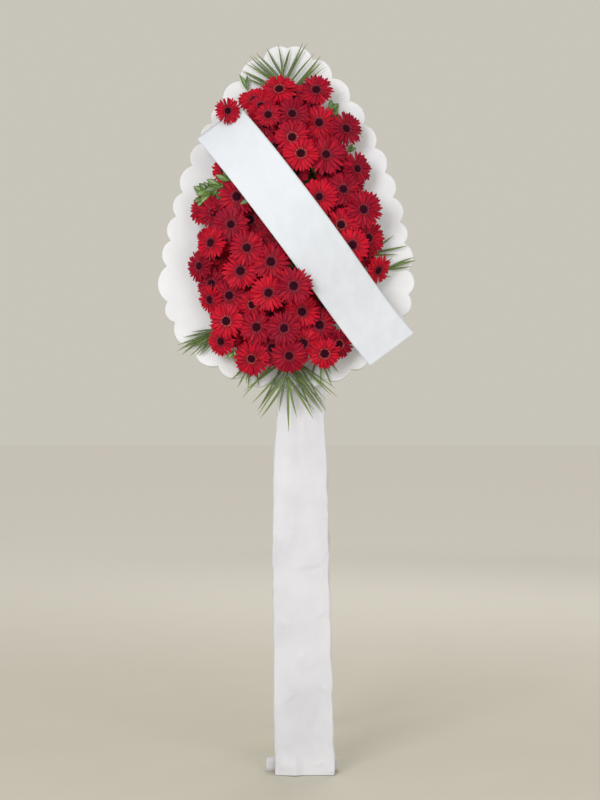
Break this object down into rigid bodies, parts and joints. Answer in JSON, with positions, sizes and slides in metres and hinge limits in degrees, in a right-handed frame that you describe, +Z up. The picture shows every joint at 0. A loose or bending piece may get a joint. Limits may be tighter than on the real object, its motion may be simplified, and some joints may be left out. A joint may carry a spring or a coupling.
{
  "type": "standing funeral wreath",
  "caption": "Standing funeral wreath: red gerberas and palm leaves on a scalloped foam board with a blank white band, on a cloth-covered leg with a folding rear prop.",
  "frame": {"origin": "on the floor, on the underside of the foot batten, midway between the leg's two posts", "axes": "+Z up, -Y the way the flowers face, +X to the viewer's right"},
  "size_m": [0.7173, 0.5806, 2.0265],
  "materials": {
    "petals": "fresh petals, soft satin",
    "palm_fronds": "fresh leaf, satin",
    "leaves": "fresh leaf, glossy",
    "band_cloth": "smooth white acetate cloth, blank",
    "cloth": "white nonwoven, matte",
    "board_foam": "cut expanded polystyrene",
    "floral_foam": "green wet floral foam",
    "pine": "planed, bare",
    "steel": "zinc plated"
  },
  "bodies": {
    "stand": {"blooms_01": "petals", "blooms_02": "petals", "blooms_03": "petals", "blooms_04": "petals", "blooms_05": "petals", "blooms_06": "petals", "blooms_07": "petals", "blooms_08": "petals", "blooms_09": "petals", "blooms_10": "petals", "blooms_11": "petals", "blooms_12": "petals", "blooms_13": "petals", "blooms_14": "petals", "blooms_15": "petals", "blooms_16": "petals", "blooms_17": "petals", "blooms_18": "petals", "blooms_19": "petals", "blooms_20": "petals", "blooms_21": "petals", "blooms_22": "petals", "blooms_23": "petals", "blooms_24": "petals", "blooms_25": "petals", "blooms_26": "petals", "blooms_27": "petals", "board_screw_1": "steel", "board_screw_2": "steel", "board_screw_3": "steel", "board_screw_4": "steel", "floral_foam": "floral_foam", "foam_board": "board_foam", "foot_batten": "pine", "foot_cloth_left": "cloth", "foot_cloth_right": "cloth", "frond_bottom": "palm_fronds", "frond_bottom_left": "palm_fronds", "frond_bottom_right": "palm_fronds", "frond_left": "palm_fronds", "frond_right_lower": "palm_fronds", "frond_right_upper": "palm_fronds", "frond_top": "palm_fronds", "hinge_board": "pine", "hinge_leaf_frame": "steel", "hinge_pin": "steel", "leg_cover": "cloth", "mourning_band": "band_cloth", "post_left": "pine", "post_right": "pine", "rung_low": "pine", "rung_middle": "pine", "rung_top": "pine", "sprig_crown": "leaves", "sprig_left": "leaves", "sprig_right": "leaves"},
    "prop": {"prop_leg": "pine", "hinge_leaf_prop": "steel"}
  },
  "joints": [
    {"name": "prop_fold", "type": "hinge", "parent": "stand", "child": "prop", "pos_m": [-0.00965, 0.1026, 1.2633], "axis": [1, 0, 0], "range_deg": [-18, 0]}
  ]
}
